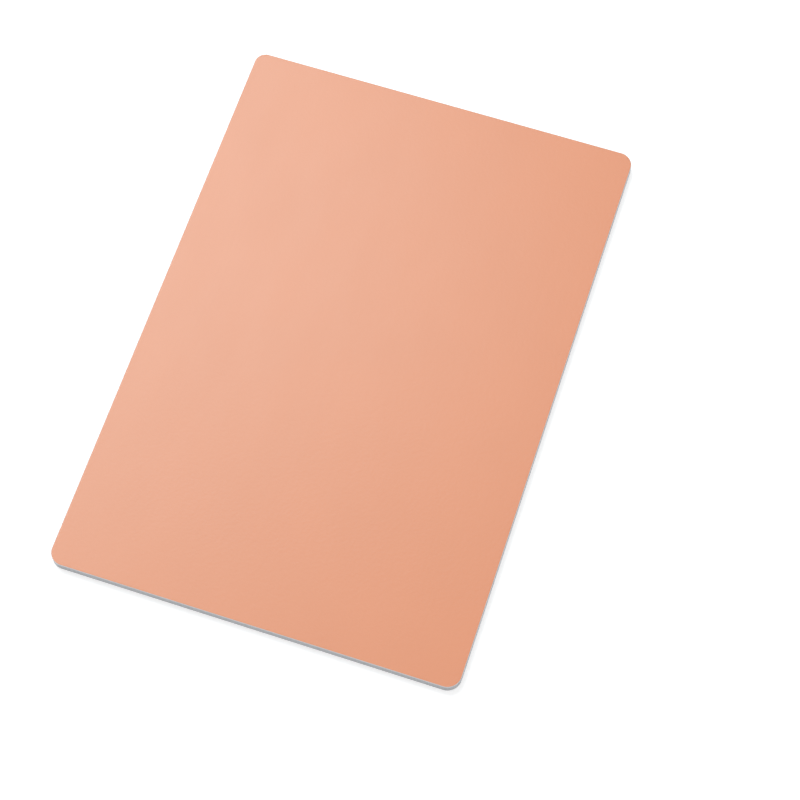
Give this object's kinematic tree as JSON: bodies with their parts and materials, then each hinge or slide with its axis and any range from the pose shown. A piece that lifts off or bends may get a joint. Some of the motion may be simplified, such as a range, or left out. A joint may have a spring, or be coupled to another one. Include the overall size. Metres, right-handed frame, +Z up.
{
  "type": "aluminium composite panel",
  "caption": "Flat rectangular panel with rounded corners: thin aluminium face and back sheets bonded to a polyethylene core, with a peach coated face.",
  "frame": {"origin": "centre of the underside, where the panel rests on a level floor", "axes": "+X along the width, +Y along the length towards the corner with the tighter rounding, +Z up through the layers to the coated face"},
  "size_m": [0.145, 0.21, 0.004],
  "materials": {
    "peach_coat": "satin peach coil coating over aluminium, bare bright aluminium where it was cut",
    "core_polyethylene": "matt light grey polyethylene, cut surface with fine cutter marks",
    "service_coat": "aluminium with a thin pale service coat, bare bright aluminium where it was cut"
  },
  "bodies": {
    "root": {"back_sheet": "service_coat", "core": "core_polyethylene", "face_sheet": "peach_coat"}
  },
  "joints": []
}
